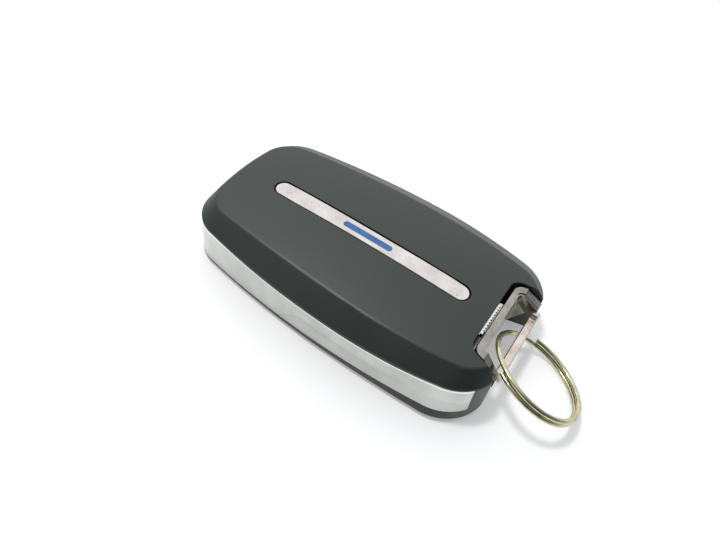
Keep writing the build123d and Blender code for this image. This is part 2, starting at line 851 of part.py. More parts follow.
with BuildPart() as battery_contact_positive:
    with BuildSketch(Plane.XZ.offset(-cell_y)):
        with BuildLine():
            Polyline(
                (contact_x + contact_foot, board_top_z),
                (contact_x - contact_thickness, board_top_z),
                (contact_x - contact_thickness, contact_top_z),
                (0, contact_top_z),
                (0, contact_top_z + contact_thickness),
                (contact_x, contact_top_z + contact_thickness),
                (contact_x, board_top_z + contact_thickness),
                (contact_x + contact_foot, board_top_z + contact_thickness),
                (contact_x + contact_foot, board_top_z),
            )
        make_face()
    extrude(amount=contact_width / 2, both=True)
battery_contact_positive.part.label = "battery_contact_positive"
export_step(battery_contact_positive.part, "parts/battery_contact_positive.step")

# Keypad mat between the buttons and the switches
with BuildPart() as keypad_mat:
    with BuildSketch(Plane.XY.offset(mat_z)):
        with Locations((0, button_top_y - button_pitch_y)):
            RectangleRounded(2 * button_pitch_x + mat_overlap, 3 * button_pitch_y, button_corner)
        with Locations(*post_places):
            Circle(post_radius + mat_fit, mode=Mode.SUBTRACT)
    extrude(amount=mat_thickness)
keypad_mat.part.label = "keypad_mat"
export_step(keypad_mat.part, "parts/keypad_mat.step")

# Tactile switches, one behind each button
with BuildPart() as tact_switches:
    with BuildSketch(Plane.XY.offset(switch_z + switch_tip)):
        with Locations(*button_places.values()):
            Rectangle(switch_size, switch_size)
    extrude(amount=switch_height - switch_tip)
    with BuildSketch(Plane.XY.offset(switch_z)):
        with Locations(*button_places.values()):
            Circle(switch_size / 4)
    extrude(amount=switch_tip)
tact_switches.part.label = "tact_switches"
export_step(tact_switches.part, "parts/tact_switches.step")

# Buttons: caps in the case openings, held from behind by a flange
for name, place in button_places.items():
    with BuildPart() as button:
        with BuildSketch(Plane.XY.offset(button_drop)):
            with Locations(place):
                RectangleRounded(button_width, button_height, button_corner)
        extrude(amount=flange_z - button_drop)
        with BuildSketch(Plane.XY.offset(flange_z)):
            with Locations(place):
                Rectangle(flange_width, flange_height)
        extrude(amount=flange_thickness)
        chamfer(button.edges().group_by(Axis.Z)[0], button_edge)
    button.part.label = name
    export_step(button.part, f"parts/{name}.step")

# Chips and coils on the board
for name, (place, size) in board_parts.items():
    with BuildPart() as chip:
        with BuildSketch(Plane.XY.offset(board_top_z)):
            with Locations(place):
                Rectangle(size[0], size[1])
        extrude(amount=size[2])
        fillet(chip.edges().filter_by(Axis.Z), chip_edge)
    chip.part.label = name
    export_step(chip.part, f"parts/{name}.step")

with BuildPart() as capacitors:
    with BuildSketch(Plane.XY.offset(board_top_z)):
        with Locations(capacitor_place):
            with GridLocations(*capacitor_pitch, *capacitor_count):
                Rectangle(*capacitor_size)
    extrude(amount=capacitor_height)
capacitors.part.label = "capacitors"
export_step(capacitors.part, "parts/capacitors.step")
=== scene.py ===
# %% [markdown]
# # A car key fob, dressed for its photograph
# The CAD model gives every solid piece of the fob at its real size. This lesson gives each of them
# a finish, adds the small printed signs on the buttons, and sets up a floor, soft light and the
# camera. The frame has to be loaded first, because everything below hangs on its pieces.

# %% Load the frame
import math

import bmesh
import bpy
from mathutils import Matrix, Vector


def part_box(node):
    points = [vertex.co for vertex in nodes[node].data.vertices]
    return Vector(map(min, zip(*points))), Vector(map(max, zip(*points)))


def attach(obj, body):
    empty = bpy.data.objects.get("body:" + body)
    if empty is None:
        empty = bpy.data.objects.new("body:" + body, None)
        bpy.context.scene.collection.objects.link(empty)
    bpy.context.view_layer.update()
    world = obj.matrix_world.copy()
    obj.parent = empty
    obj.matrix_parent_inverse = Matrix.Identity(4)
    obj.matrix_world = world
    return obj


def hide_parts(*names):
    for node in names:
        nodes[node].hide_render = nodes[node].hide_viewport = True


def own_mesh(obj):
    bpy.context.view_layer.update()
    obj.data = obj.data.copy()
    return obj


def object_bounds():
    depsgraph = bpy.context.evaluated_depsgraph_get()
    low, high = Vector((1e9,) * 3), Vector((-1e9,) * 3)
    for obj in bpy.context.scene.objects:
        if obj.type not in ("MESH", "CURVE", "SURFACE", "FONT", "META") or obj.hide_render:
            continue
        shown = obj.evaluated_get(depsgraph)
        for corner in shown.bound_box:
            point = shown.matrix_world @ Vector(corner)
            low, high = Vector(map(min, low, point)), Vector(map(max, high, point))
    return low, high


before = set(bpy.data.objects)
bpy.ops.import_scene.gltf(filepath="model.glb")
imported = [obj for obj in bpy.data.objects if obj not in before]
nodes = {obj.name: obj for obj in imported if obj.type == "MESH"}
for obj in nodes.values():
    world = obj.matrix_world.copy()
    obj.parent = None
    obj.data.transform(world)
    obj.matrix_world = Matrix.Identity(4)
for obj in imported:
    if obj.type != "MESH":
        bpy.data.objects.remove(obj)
cad_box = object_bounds()
MM = 0.001
print("loaded", len(nodes), "pieces, box", cad_box)

# %% [markdown]
# ## Smooth shading
# A CAD mesh arrives as many flat triangles. Its faces could all be shaded smooth, but then the crisp
# edges of the case would look like soap. The angle between two faces decides instead: below the
# limit they blend, above it the edge stays sharp.

# %% Shade by angle
SHARP_ANGLE = math.radians(24)


def shade_by_angle(piece):
    """Smooth where faces nearly line up, sharp elsewhere."""
    for face in piece.data.polygons:
        face.use_smooth = True
    bm = bmesh.new()
    bm.from_mesh(piece.data)
    for edge in bm.edges:
        edge.smooth = len(edge.link_faces) == 2 and edge.calc_face_angle() < SHARP_ANGLE
    bm.to_mesh(piece.data)
    bm.free()


# %% [markdown]
# ## Writing shaders as sums
# A material in Blender is a web of nodes. Adding each node by hand hides the idea behind it, so one
# small class wraps a socket and lets plain Python arithmetic add the Math nodes. A second class makes
# every other node with one method, for a material or for the world. A third adds what only a
# material needs: coordinates on the piece, grain, scratches and relief. Noise keeps mostly to the
# span between 0.3 and 0.7, so most looks are stretched over that.

# %% A socket that can be added and multiplied
class Value:
    """A socket's output, which arithmetic turns into Math nodes."""

    def __init__(self, web, socket):
        self.web = web
        self.socket = socket

    def join(self, operation, first, second):
        return self.web.node("ShaderNodeMath", {"operation": operation}, {0: first, 1: second})

    def __add__(self, other):
        return self.join("ADD", self, other)

    def __mul__(self, other):
        return self.join("MULTIPLY", self, other)

    def __sub__(self, other):
        return self.join("SUBTRACT", self, other)

    def __rsub__(self, other):
        return self.join("SUBTRACT", other, self)


# %% A web of nodes
MIX_LOW, MIX_HIGH, MIX_RESULT = 6, 7, 2


class Web:
    """A node tree whose nodes are made on demand."""

    def __init__(self, tree):
        self.tree = tree

    def node(self, kind, settings=None, inputs=None, output=0):
        """Any node: its settings first, then the values or links of its sockets."""
        made = self.tree.nodes.new(kind)
        for setting, value in (settings or {}).items():
            if setting == "stops":
                self.set_stops(made.color_ramp, value)
            else:
                setattr(made, setting, value)
        for socket, value in (inputs or {}).items():
            if isinstance(value, Value):
                self.tree.links.new(value.socket, made.inputs[socket])
            else:
                made.inputs[socket].default_value = value
        return Value(self, made.outputs[output])

    def set_stops(self, ramp, stops):
        """Colours along a ramp, each with its position."""
        while len(ramp.elements) < len(stops):
            ramp.elements.new(0.5)
        for element, (position, colour) in zip(ramp.elements, stops):
            element.position = position
            element.color = (*colour, 1)

    def range(self, value, low, high, out_low=0.0, out_high=1.0, ends="LINEAR"):
        """A value squeezed between two limits and laid over another span."""
        limits = {"From Min": low, "From Max": high, "To Min": out_low, "To Max": out_high}
        settings = {"clamp": True, "interpolation_type": ends}
        return self.node("ShaderNodeMapRange", settings, {"Value": value, **limits})

    def mix(self, mask, low, high, blend="MIX"):
        """Two colours, blended by a mask."""
        inputs = {"Factor": mask}
        for socket, colour in ((MIX_LOW, low), (MIX_HIGH, high)):
            inputs[socket] = colour if isinstance(colour, Value) else (*colour, 1)
        settings = {"data_type": "RGBA", "blend_type": blend}
        return self.node("ShaderNodeMix", settings, inputs, MIX_RESULT)


# %% A material and its nodes
NOISE_SPAN = (0.3, 0.7)
SCRATCH_EDGE = 0.08


class Sheet(Web):
    """A material with its main shader, and the grain and marks that surfaces share."""

    def __init__(self, name, colour, roughness, metallic=0.0, **fixed):
        self.material = bpy.data.materials.new(name)
        self.material.use_nodes = True
        super().__init__(self.material.node_tree)
        self.main = self.tree.nodes["Principled BSDF"]
        self.main.inputs["Base Color"].default_value = (*colour, 1)
        self.main.inputs["Roughness"].default_value = roughness
        self.main.inputs["Metallic"].default_value = metallic
        for socket, value in fixed.items():
            self.main.inputs[socket.replace("_", " ")].default_value = value
        self.place = self.node("ShaderNodeTexCoord", output="Object")

    def feed(self, socket, value):
        """Lead a value into the main shader."""
        self.tree.links.new(value.socket, self.main.inputs[socket])

    def stretched(self, scale, turn=(0, 0, 0)):
        """The object's own coordinates in metres, turned and stretched."""
        inputs = {"Vector": self.place, "Scale": scale, "Rotation": turn}
        return self.node("ShaderNodeMapping", {"vector_type": "POINT"}, inputs)

    def noise(self, size_mm, detail, stretch=(1, 1, 1), turn=(0, 0, 0)):
        """Cloudy noise whose blotches are about size_mm across."""
        across = 1 / (size_mm * MM)
        vector = self.stretched(tuple(across * s for s in stretch), turn)
        inputs = {"Vector": vector, "Scale": 1.0, "Detail": detail, "Roughness": 0.5}
        return self.node("ShaderNodeTexNoise", {}, inputs)

    def cells(self, size_mm):
        """Distance to scattered points about size_mm apart."""
        across = 1 / (size_mm * MM)
        vector = self.stretched((across, across, across))
        return self.node("ShaderNodeTexVoronoi", {}, {"Vector": vector, "Scale": 1.0}, "Distance")

    def axis(self, letter):
        """One coordinate of the object's own place, in metres."""
        return self.node("ShaderNodeSeparateXYZ", {}, {0: self.place}, output=letter)

    def bump(self, height, depth_mm, strength):
        """Relief of a given depth, felt by the light only."""
        inputs = {"Height": height, "Distance": depth_mm * MM, "Strength": strength}
        self.feed("Normal", self.node("ShaderNodeBump", {}, inputs, "Normal"))

    def scratches(self, length_mm, width_mm, turn, keep):
        """Thin lines: noise drawn out along one direction and cut off high."""
        drawn = self.noise(width_mm, 3.0, (1, width_mm / length_mm, 1), (0, 0, math.radians(turn)))
        return self.range(drawn, keep, keep + SCRATCH_EDGE)

    def dress(self, *names):
        """Make this the only material of the named pieces."""
        for name in names:
            piece = nodes[name]
            piece.data.materials.clear()
            piece.data.materials.append(self.material)


print("shader helpers ready")

# %% [markdown]
# ## The soft-touch cover
# The back cover is moulded in black and sprayed with a soft coating. It scatters light like fine
# suede: a broad dull sheen, a grain too small to count, and faint marks from pockets. A wide specular
# lobe over a nearly black base gives the sheen, and two noises of different size give grain and
# marks.

# %% Soft-touch black
def soft_touch():
    sheet = Sheet("soft_touch_black", (0.013, 0.016, 0.015), 0.46, Specular_IOR_Level=0.62,
                  Specular_Tint=(0.92, 1.0, 0.95, 1))
    cloud = sheet.noise(14, 3)
    rub = sheet.scratches(7, 0.3, 24, 0.68) + sheet.scratches(4, 0.25, -38, 0.7)
    grain = sheet.noise(0.16, 2)
    shade = sheet.range(cloud, *NOISE_SPAN)
    colour = sheet.mix(shade, (0.011, 0.015, 0.014), (0.016, 0.021, 0.019))
    worn = sheet.mix(rub * 0.25, colour, (0.045, 0.05, 0.047))
    sheet.feed("Base Color", worn)
    sheet.feed("Roughness", sheet.range(cloud, *NOISE_SPAN, 0.42, 0.48) - rub * 0.03)
    sheet.bump(grain + rub * 0.4, 0.012, 0.5)
    return sheet


soft_touch().dress("back_cover")
print("cover coated")

# %% [markdown]
# ## The case under the band
# The front case is the same black plastic without the coating. Its corners at the key end rub against
# everything in a pocket, so they go grey. A mask that grows towards the key end mixes in that wear.

# %% Moulded case
WEAR_LENGTH = (0.0285, 0.0325)


def moulded_case():
    sheet = Sheet("moulded_case_black", (0.03, 0.033, 0.031), 0.42, Specular_IOR_Level=0.5)
    grain = sheet.cells(0.28)
    cloud = sheet.noise(5, 3)
    end = sheet.range(sheet.axis("Y"), *WEAR_LENGTH)
    worn = end * sheet.range(cloud, 0.25, 0.6, 0.55, 1.0)
    sheet.feed("Base Color", sheet.mix(worn, (0.03, 0.033, 0.031), (0.105, 0.112, 0.09)))
    sheet.feed("Roughness", sheet.range(cloud, *NOISE_SPAN, 0.38, 0.5))
    sheet.bump(grain, 0.015, 0.6)
    return sheet


moulded_case().dress("front_case")
print("case finished")

# %% [markdown]
# ## Chrome
# Plated plastic is a mirror, so what it shows is mostly its surroundings. What makes it look real is
# what disturbs the mirror: smudges that dull it in patches and hairline scratches. Its colour also
# carries a painted highlight line below the top edge, a painted reflection that darkens the band
# below a curved edge, a thin dark brown line along the top edge by the cover, and darkening towards
# the foot. Where each of them starts and ends is given in metres, along the fob's own height or
# length.

# %% Chrome band
# A thin dark brown line along the band's top edge, next to the cover, fading out towards both ends.
TOP_DARK_LINE_HEIGHT = (0.00878, 0.00882)
TOP_DARK_LINE_FAR_END = (-0.026, -0.012)
TOP_DARK_LINE_KEY_END = (0.03, 0.018)
# Height where a painted highlight line starts, just below the dark top line.
HIGHLIGHT_LINE_HEIGHT = (0.00852, 0.00858)
# Where a painted reflection edge runs along the band: the band is painted darker below it.
REFLECTION_EDGE_LENGTH = (-0.0095, -0.0015)
REFLECTION_EDGE_HEIGHT = (0.0012, 0.0057)
REFLECTION_EDGE_BLUR = (0.00006, -0.00006)
# Depth and extent of the dark painted reflection line just below that edge.
REFLECTION_LINE_DEPTH = (-0.0004, -0.0002)
REFLECTION_LINE_KEY_END = (0.014, 0.006)
# Height over which the band gets darker towards its foot.
FOOT_HEIGHT = (0.0032, 0.0014)


def chrome_band():
    sheet = Sheet("chrome_band_plated", (0.8, 0.81, 0.8), 0.07, 1.0)
    smudge = sheet.noise(4, 4)
    line = sheet.scratches(7, 0.12, 8, 0.66)
    height = sheet.axis("Z")
    length = sheet.axis("Y")
    # A thin dark brown line along the top edge, next to the cover, also made a little rougher.
    middle = sheet.range(length, *TOP_DARK_LINE_FAR_END) * sheet.range(length, *TOP_DARK_LINE_KEY_END)
    top_dark_line = sheet.range(height, *TOP_DARK_LINE_HEIGHT) * middle
    # Painted highlight: a bright line just below the dark top line.
    highlight_line = sheet.range(height, *HIGHLIGHT_LINE_HEIGHT) * (1 - top_dark_line)
    # Painted reflection: darker below a curved edge, with a darker painted line just under it.
    reflection_edge = sheet.range(length, *REFLECTION_EDGE_LENGTH, *REFLECTION_EDGE_HEIGHT, ends="SMOOTHSTEP")
    under = sheet.range(height - reflection_edge, *REFLECTION_EDGE_BLUR)
    narrow = sheet.range(height - reflection_edge, *REFLECTION_LINE_DEPTH)
    reflection_line = under * narrow * sheet.range(length, *REFLECTION_LINE_KEY_END)
    # Darker towards the foot of the band.
    foot = sheet.range(height, *FOOT_HEIGHT)
    clean = sheet.mix(sheet.range(smudge, 0.35, 0.7), (0.6, 0.615, 0.58), (0.5, 0.52, 0.49))
    shaded = sheet.mix(under * 0.12 + reflection_line * 0.22, clean, (0.22, 0.24, 0.23))
    darker_foot = sheet.mix(foot * 0.4, shaded, (0.2, 0.21, 0.2))
    with_highlight_line = sheet.mix(highlight_line, darker_foot, (0.86, 0.86, 0.84))
    sheet.feed("Base Color", sheet.mix(top_dark_line * 0.9, with_highlight_line, (0.09, 0.05, 0.03)))
    polish = sheet.range(smudge, 0.35, 0.75, 0.05, 0.19)
    sheet.feed("Roughness", polish + line * 0.15 + top_dark_line * 0.3)
    sheet.bump(line * -1.0 + smudge * 0.5, 0.006, 0.35)
    return sheet


chrome_band().dress("side_trim_left", "side_trim_right")
print("bands plated")


# %% Key head chrome, rubbed by the key ring
def head_chrome():
    sheet = Sheet("key_head_chrome", (0.5, 0.49, 0.45), 0.1, 1.0)
    smudge = sheet.noise(2.4, 4)
    fine = sheet.scratches(2.6, 0.07, 70, 0.6)
    cross = sheet.scratches(2.0, 0.06, -20, 0.62)
    tint = sheet.mix(sheet.range(smudge, 0.35, 0.7), (0.34, 0.33, 0.295), (0.21, 0.2, 0.17))
    sheet.feed("Base Color", sheet.mix(cross * 0.3, tint, (0.2, 0.18, 0.16)))
    sheet.feed("Roughness", sheet.range(smudge, *NOISE_SPAN, 0.06, 0.16) + fine * 0.08)
    sheet.bump(fine * -1.0 - cross, 0.01, 0.5)
    return sheet


head_chrome().dress("key_head")


# %% The ribbed ledge of the latch
def latch_chrome():
    sheet = Sheet("latch_chrome", (0.82, 0.82, 0.8), 0.14, 1.0)
    smudge = sheet.noise(1.2, 3)
    grain = sheet.noise(0.1, 2)
    sheet.feed("Base Color", sheet.mix(smudge, (0.74, 0.74, 0.72), (0.5, 0.5, 0.48)))
    sheet.feed("Roughness", sheet.range(smudge, *NOISE_SPAN, 0.1, 0.25))
    sheet.bump(grain, 0.004, 0.5)
    return sheet


latch_chrome().dress("release_latch")
print("head and latch plated")

# %% [markdown]
# ## The crossbar and the blade
# Both are bare metal. The crossbar is brown from handling and scratched by the split ring along its
# length. The blade is drawn nickel silver, so its grain runs along it.


# %% Worn crossbar
def worn_steel():
    sheet = Sheet("crossbar_worn_steel", (0.5, 0.46, 0.42), 0.34, 1.0)
    stain = sheet.noise(1.8, 4)
    rubbed = sheet.scratches(1.4, 0.08, 85, 0.58)
    drawn = sheet.scratches(3.0, 0.05, 0, 0.6)
    tint = sheet.mix(sheet.range(stain, 0.35, 0.65), (0.5, 0.43, 0.37), (0.72, 0.64, 0.57))
    sheet.feed("Base Color", sheet.mix(rubbed * 0.6, tint, (0.8, 0.78, 0.74)))
    sheet.feed("Roughness", sheet.range(stain, *NOISE_SPAN, 0.28, 0.42) - rubbed * 0.08)
    sheet.bump(rubbed * -1.0 - drawn * 0.5, 0.012, 0.6)
    return sheet


worn_steel().dress("head_crossbar")


# %% Drawn blade
def drawn_blade():
    sheet = Sheet("blade_nickel_silver", (0.66, 0.63, 0.56), 0.28, 1.0)
    drawn = sheet.noise(0.08, 3, (1, 0.012, 1))
    stain = sheet.noise(5, 3)
    tint = sheet.mix(sheet.range(stain, *NOISE_SPAN), (0.7, 0.67, 0.6), (0.56, 0.52, 0.45))
    sheet.feed("Base Color", tint)
    sheet.feed("Roughness", sheet.range(drawn, *NOISE_SPAN, 0.2, 0.36))
    sheet.bump(drawn, 0.004, 0.6)
    return sheet


drawn_blade().dress("key_blade")

# %% [markdown]
# ## The split ring
# The ring is spring steel with thin nickel that has yellowed. Bending and rubbing leave it with dull
# patches and short cross scratches, which break up the long highlights on the wire.


# %% Yellowed nickel
def yellowed_nickel():
    sheet = Sheet("ring_yellowed_nickel", (0.62, 0.58, 0.4), 0.2, 1.0)
    patch = sheet.noise(1.6, 4)
    nick = sheet.scratches(0.9, 0.07, 30, 0.62)
    tint = sheet.mix(sheet.range(patch, 0.35, 0.65), (0.64, 0.61, 0.43), (0.47, 0.44, 0.27))
    sheet.feed("Base Color", sheet.mix(nick * 0.35, tint, (0.25, 0.22, 0.15)))
    sheet.feed("Roughness", sheet.range(patch, *NOISE_SPAN, 0.14, 0.3) + nick * 0.1)
    sheet.bump(nick * -1.0 + patch * 0.3, 0.01, 0.5)
    return sheet


yellowed_nickel().dress("key_ring")
print("bare metals finished")

# %% [markdown]
# ## The inlaid bar
# The bar in the middle of the cover is plated and then brushed across, and its centre holds a stripe
# of blue enamel under clear glaze. The enamel gets a coat layer, which is what glaze is.


# %% Brushed bar
def brushed_bar():
    sheet = Sheet("bar_brushed_chrome", (0.75, 0.75, 0.74), 0.2, 1.0)
    brushed = sheet.noise(0.09, 3, (0.04, 1, 1))
    pit = sheet.range(sheet.noise(0.5, 3), 0.66, 0.72)
    smudge = sheet.noise(3, 3)
    tint = sheet.mix(sheet.range(smudge, *NOISE_SPAN), (0.66, 0.635, 0.605), (0.54, 0.51, 0.485))
    sheet.feed("Base Color", sheet.mix(pit * 0.7, tint, (0.12, 0.1, 0.09)))
    sheet.feed("Roughness", sheet.range(brushed, *NOISE_SPAN, 0.12, 0.3))
    sheet.bump(brushed - pit, 0.006, 0.5)
    return sheet


brushed_bar().dress("trim_bar")


# %% Blue enamel
def blue_enamel():
    sheet = Sheet("enamel_blue", (0.0, 0.16, 0.52), 0.3, Coat_Weight=0.4, Coat_Roughness=0.05)
    flake = sheet.cells(0.12)
    pool = sheet.noise(2.5, 2)
    deep = sheet.mix(sheet.range(pool, *NOISE_SPAN), (0.0, 0.085, 0.32), (0.0, 0.13, 0.42))
    glints = sheet.range(flake, 0.25, 0.05) * 0.2
    sheet.feed("Base Color", sheet.mix(glints, deep, (0.05, 0.3, 0.7)))
    sheet.feed("Roughness", sheet.range(pool, *NOISE_SPAN, 0.22, 0.36))
    sheet.bump(pool, 0.02, 0.4)
    return sheet


blue_enamel().dress("trim_enamel")
print("bar and enamel finished")

# %% [markdown]
# ## Rubber and silicone
# The buttons, the seal and the keypad mat are elastomers. They differ in colour and gloss but share a
# fine cast grain, so one function makes all of them from a few numbers.


# %% Elastomers
def elastomer(name, dark, light, roughness, grain_mm):
    sheet = Sheet(name, dark, roughness, Specular_IOR_Level=0.4)
    grain = sheet.noise(grain_mm, 2)
    cloud = sheet.noise(4, 3)
    rub = sheet.scratches(2.5, 0.12, 50, 0.64)
    tint = sheet.mix(sheet.range(cloud, *NOISE_SPAN), dark, light)
    rubbed = tuple(min(1, c * 1.8 + 0.02) for c in light)
    sheet.feed("Base Color", sheet.mix(rub * 0.3, tint, rubbed))
    sheet.feed("Roughness", sheet.range(cloud, *NOISE_SPAN, roughness - 0.05, roughness + 0.07))
    sheet.bump(grain, 0.01, 0.6)
    return sheet


BLACK_BUTTONS = ["button_lock", "button_unlock", "button_start", "button_trunk"]
BLACK_RUBBER = ((0.035, 0.037, 0.037), (0.05, 0.052, 0.052))
RED_RUBBER = ((0.4, 0.016, 0.014), (0.5, 0.03, 0.024))
SEAL_RUBBER = ((0.02, 0.02, 0.02), (0.035, 0.035, 0.035))
MAT_SILICONE = ((0.26, 0.26, 0.28), (0.34, 0.34, 0.36))
elastomer("button_black_rubber", *BLACK_RUBBER, 0.5, 0.15).dress(*BLACK_BUTTONS)
elastomer("button_red_rubber", *RED_RUBBER, 0.46, 0.15).dress("button_panic")
elastomer("seal_black_rubber", *SEAL_RUBBER, 0.6, 0.2).dress("case_seal")
elastomer("mat_grey_silicone", *MAT_SILICONE, 0.5, 0.3).dress("keypad_mat")
print("elastomers finished")

# %% [markdown]
# ## Inside the case
# Nobody sees the inside until the case is opened, but then it has to hold up. The board
# gets copper tracks under its lacquer, the cell a turned steel face, and the moulded pieces a grain.


# %% Circuit board
TRACK_SCALE = 420


def lacquered_board():
    sheet = Sheet("board_green_lacquer", (0.012, 0.1, 0.045), 0.3, Specular_IOR_Level=0.5)
    warp = sheet.noise(3, 1)
    vector = sheet.stretched((TRACK_SCALE, TRACK_SCALE, TRACK_SCALE))
    inputs = {"Vector": vector, "Scale": 1.0, "Mortar Size": 0.06, "Brick Width": 2.2}
    along = sheet.node("ShaderNodeTexBrick", {"offset": 0.35}, inputs, "Fac")
    hole = sheet.range(sheet.cells(2.6), 0.12, 0.09)
    tint = sheet.mix(sheet.range(warp, *NOISE_SPAN), (0.01, 0.085, 0.04), (0.014, 0.11, 0.05))
    tracks = sheet.mix(along, tint, (0.03, 0.2, 0.09))
    sheet.feed("Base Color", sheet.mix(hole, tracks, (0.6, 0.5, 0.25)))
    sheet.feed("Metallic", hole * 0.9)
    sheet.feed("Roughness", sheet.range(warp, *NOISE_SPAN, 0.24, 0.36))
    sheet.bump(along + hole, 0.03, 0.6)
    return sheet


lacquered_board().dress("circuit_board")


# %% Turned and pressed metals
def pressed_metal(name, colour, stretch, turn=0):
    sheet = Sheet(name, colour, 0.25, 1.0)
    drawn = sheet.noise(0.1, 3, stretch, (0, 0, math.radians(turn)))
    stain = sheet.noise(3, 3)
    sheet.feed("Base Color", sheet.mix(stain * 0.6, colour, tuple(c * 0.7 for c in colour)))
    sheet.feed("Roughness", sheet.range(drawn, *NOISE_SPAN, 0.18, 0.34))
    sheet.bump(drawn, 0.004, 0.5)
    return sheet


cell_steel = pressed_metal("cell_stainless_steel", (0.66, 0.66, 0.66), (1, 0.05, 1), 35)
cell_steel.dress("coin_cell", "quartz_crystal")
contact_nickel = pressed_metal("contact_nickel", (0.72, 0.69, 0.6), (0.05, 1, 1))
contact_nickel.dress("battery_contact_positive", "battery_contact_negative")
pressed_metal("spring_steel_strip", (0.55, 0.55, 0.56), (1, 1, 0.1)).dress("latch_spring")


# %% Moulded inner pieces
def moulded_inner(name, colour, roughness, grain_mm):
    sheet = Sheet(name, colour, roughness, Specular_IOR_Level=0.5)
    grain = sheet.cells(grain_mm)
    cloud = sheet.noise(2, 3)
    sheet.feed("Base Color", sheet.mix(cloud, colour, tuple(c * 1.5 + 0.004 for c in colour)))
    sheet.feed("Roughness", sheet.range(cloud, *NOISE_SPAN, roughness - 0.06, roughness + 0.06))
    sheet.bump(grain, 0.01, 0.5)
    return sheet


moulded_inner("inner_frame_black", (0.035, 0.035, 0.038), 0.45, 0.3).dress("inner_frame")
chip_epoxy = moulded_inner("chip_epoxy", (0.012, 0.012, 0.013), 0.5, 0.12)
chip_epoxy.dress("processor_chip", "radio_chip", "tact_switches")
moulded_inner("ceramic_brown", (0.2, 0.13, 0.08), 0.4, 0.1).dress("capacitors")


# %% Wound ferrite
TURNS_SCALE = 1500.0


def wound_ferrite():
    sheet = Sheet("antenna_wound_copper", (0.3, 0.13, 0.06), 0.35, 0.6)
    settings = {"bands_direction": "Z", "wave_profile": "SIN"}
    inputs = {"Vector": sheet.stretched((1, 1, 1)), "Scale": TURNS_SCALE}
    turns = sheet.node("ShaderNodeTexWave", settings, inputs, "Fac")
    stain = sheet.noise(1.5, 2)
    sheet.feed("Base Color", sheet.mix(stain, (0.42, 0.18, 0.08), (0.22, 0.09, 0.05)))
    sheet.feed("Roughness", sheet.range(turns, 0, 1, 0.5, 0.25))
    sheet.bump(turns, 0.05, 0.8)
    return sheet


wound_ferrite().dress("antenna_coil")
for name in nodes:
    shade_by_angle(nodes[name])
print("inside finished")

# %% [markdown]
# ## A stand-in for the latch spring
# The latch pushes its folded spring against a post, so the spring gets shorter by the latch's travel.
# A copy of the strip, attached to the fob's body, stands in for the rigid one, which is hidden.

# %% Folded spring
strip = nodes["latch_spring"]
folded_spring = bpy.data.objects.new("folded_spring", strip.data.copy())
bpy.context.scene.collection.objects.link(folded_spring)
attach(folded_spring, "fob_body")
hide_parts("latch_spring")
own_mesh(folded_spring)

# %% [markdown]
# ## Signs on the buttons
# Real buttons carry signs moulded in a second, pale material. Each sign is drawn as a few flat
# outlines and given a little thickness, so it stands just proud of its button. Outlines are easier to
# read than vertex lists, so three helpers do the rest: one gives points along an arc, one lays an
# even band along a path, and one thickens the outlines into a mesh. Measures are millimetres, apart
# from the weld distance, which is metres.

# %% Drawing helpers
SIGN_THICKNESS = 0.12
SIGN_PROUD = 0.04
STROKE = 0.5
THIN_STROKE = STROKE * 0.8
WELD_DISTANCE = 1e-7


def arc_points(centre, radius, start, end, steps=16):
    """Points along an arc, with the angles in degrees."""
    found = []
    for step in range(steps + 1):
        angle = math.radians(start + (end - start) * step / steps)
        found.append((centre[0] + radius * math.cos(angle), centre[1] + radius * math.sin(angle)))
    return found


def band_along(points, width, closed=False):
    """Quads of an even band that follows a path."""
    count = len(points)
    left = []
    right = []
    for index, point in enumerate(points):
        before = points[(index - 1) % count] if closed or index else point
        after = points[(index + 1) % count] if closed or index < count - 1 else point
        along = (Vector(after) - Vector(before)).normalized()
        across = Vector((-along.y, along.x)) * (width / 2)
        left.append(Vector(point) + across)
        right.append(Vector(point) - across)
    last = count if closed else count - 1
    return [[left[i], left[(i + 1) % count], right[(i + 1) % count], right[i]] for i in range(last)]


def sign_piece(name, outlines, place, base_z):
    """Flat outlines, thickened upwards from just below the button's face into one mesh."""
    bm = bmesh.new()
    lower_z = (base_z - SIGN_PROUD) * MM
    for outline in outlines:
        flat = [((place[0] - x) * MM, (place[1] + y) * MM, lower_z) for x, y in outline]
        lower = [bm.verts.new(corner) for corner in flat]
        upper = [bm.verts.new((v.co.x, v.co.y, v.co.z + SIGN_THICKNESS * MM)) for v in lower]
        bm.faces.new(lower)
        bm.faces.new(upper[::-1])
        for i in range(len(lower)):
            j = (i + 1) % len(lower)
            bm.faces.new((lower[i], upper[i], upper[j], lower[j]))
    bmesh.ops.remove_doubles(bm, verts=bm.verts, dist=WELD_DISTANCE)
    bmesh.ops.recalc_face_normals(bm, faces=bm.faces)
    mesh = bpy.data.meshes.new(name)
    bm.to_mesh(mesh)
    bm.free()
    piece = bpy.data.objects.new(name, mesh)
    bpy.context.scene.collection.objects.link(piece)
    return piece


# %% [markdown]
# A padlock, an open padlock, a round arrow, a car's boot lid and a horn with sound waves are the
# usual signs. Each function returns its outlines round the button's centre.


# %% The five signs
def padlock(is_open=False):
    body = [(-1.5, -1.9), (1.5, -1.9), (1.5, 0.3), (-1.5, 0.3)]
    shackle = [(1.05, 0.2)] + arc_points((0, 0.9), 1.05, 0, 180)
    if not is_open:
        shackle.append((-1.05, 0.2))
    return [body] + band_along(shackle, STROKE)


def round_arrow():
    turn = arc_points((0, 0), 1.9, 60, 360)
    tip = [(1.2, 0.1), (2.6, 0.1), (1.9, 1.3)]
    return band_along(turn, STROKE) + [tip]


